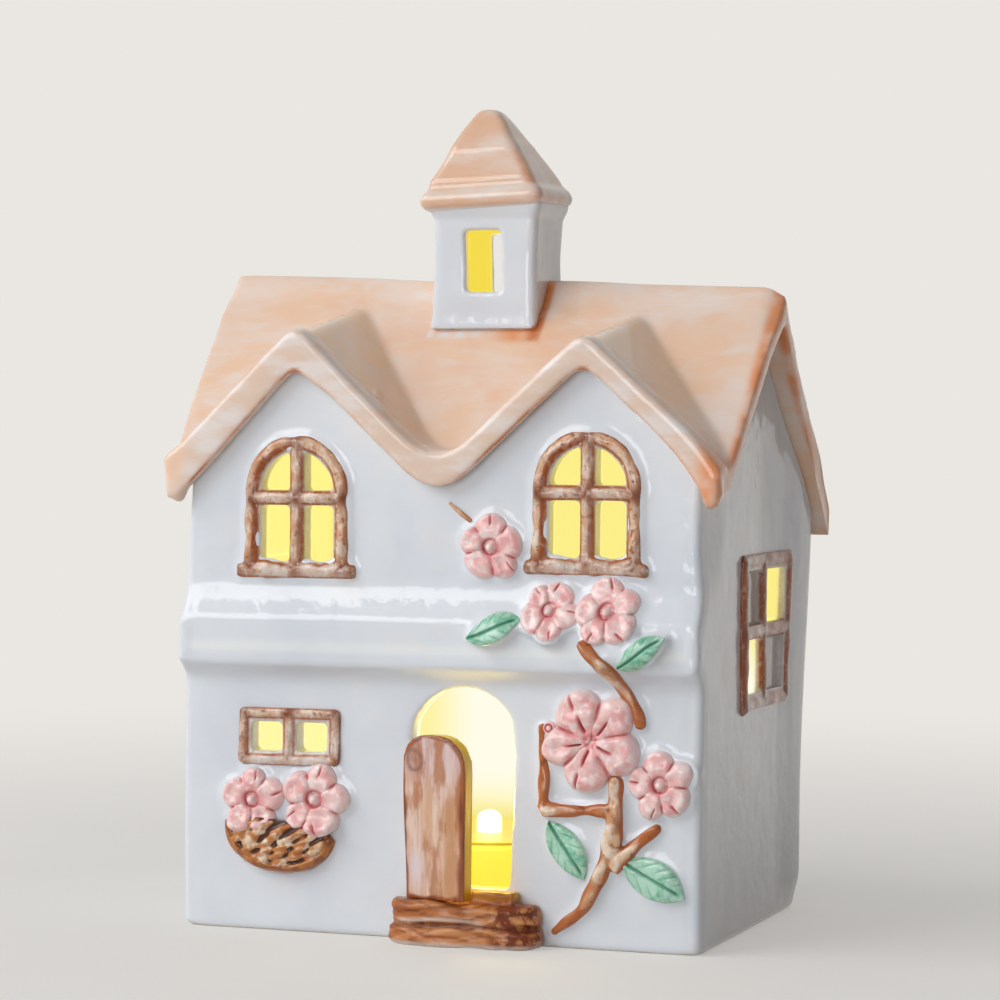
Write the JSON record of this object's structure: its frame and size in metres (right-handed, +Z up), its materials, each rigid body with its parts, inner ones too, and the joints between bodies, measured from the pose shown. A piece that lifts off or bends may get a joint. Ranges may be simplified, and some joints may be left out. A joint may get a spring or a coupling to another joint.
{
  "type": "ceramic house night light",
  "caption": "Glazed ceramic cottage with a bell tower, dormer gables and moulded blossoms, open underneath to stand over a small round LED light.",
  "frame": {"origin": "middle of the footprint box on the surface it stands on, under the house", "axes": "+Z up; -Y is the front with the doorway; +X to the right seen from the front; the roof ridge runs along X"},
  "size_m": [0.1152, 0.0824, 0.1604],
  "materials": {
    "white_glaze": "clear gloss glaze over white clay",
    "peach_glaze": "brushed peach underglaze under clear gloss",
    "brown_glaze": "brushed brown underglaze under clear gloss",
    "door_glaze": "streaked lilac and brown underglaze under clear gloss",
    "step_glaze": "brushed red-brown underglaze under clear gloss",
    "basket_glaze": "brushed brown underglaze in a woven relief",
    "branch_glaze": "mottled beige-brown underglaze under clear gloss",
    "pink_glaze": "pink underglaze, darker in the folds, gloss",
    "green_glaze": "mint green underglaze with darker veins, gloss",
    "milky_plastic": "translucent, satin",
    "white_plastic": "fine texture",
    "lamp_epoxy": "clear dome, lit",
    "steel": "nickel plated",
    "board_laminate": "green solder mask",
    "black_plastic": "satin"
  },
  "bodies": {
    "light": {"light_housing": "milky_plastic", "base_plate": "white_plastic", "housing_screw_1": "steel", "housing_screw_2": "steel", "circuit_board": "board_laminate", "resistor": "black_plastic", "led_lamp": "lamp_epoxy", "led_lead_1": "steel", "led_lead_2": "steel", "negative_contact": "steel", "positive_contact": "steel", "switch_body": "black_plastic"},
    "battery_lid": {"battery_lid": "white_plastic", "coin_cell": "steel"},
    "switch_slider": {"switch_slider": "black_plastic"},
    "house": {"house_walls": "white_glaze", "tower": "white_glaze", "main_roof": "peach_glaze", "tower_cap": "peach_glaze", "left_arched_window": "brown_glaze", "right_arched_window": "brown_glaze", "lower_window": "brown_glaze", "right_side_window": "brown_glaze", "left_side_window": "brown_glaze", "door_leaf": "door_glaze", "doorstep": "step_glaze", "flower_basket": "basket_glaze", "blossom_trunk": "branch_glaze", "upper_branch": "branch_glaze", "twig": "branch_glaze", "blossom_high": "pink_glaze", "blossom_left": "pink_glaze", "blossom_right": "pink_glaze", "blossom_large": "pink_glaze", "blossom_low": "pink_glaze", "basket_blossom_left": "pink_glaze", "basket_blossom_right": "pink_glaze", "leaf_upper_left": "green_glaze", "leaf_upper_right": "green_glaze", "leaf_lower_left": "green_glaze", "leaf_lower_right": "green_glaze"}
  },
  "joints": [
    {"name": "house_lift", "type": "slide", "parent": "light", "child": "house", "axis": [0, 0, 1], "range_m": [0, 0.06]},
    {"name": "battery_lid_turn", "type": "hinge", "parent": "light", "child": "battery_lid", "pos_m": [-0.002, 0.00228, 0.002], "axis": [0, 0, 1], "range_deg": [0, 35]},
    {"name": "switch_slide", "type": "slide", "parent": "light", "child": "switch_slider", "axis": [1, 0, 0], "range_m": [0, 0.002]}
  ]
}
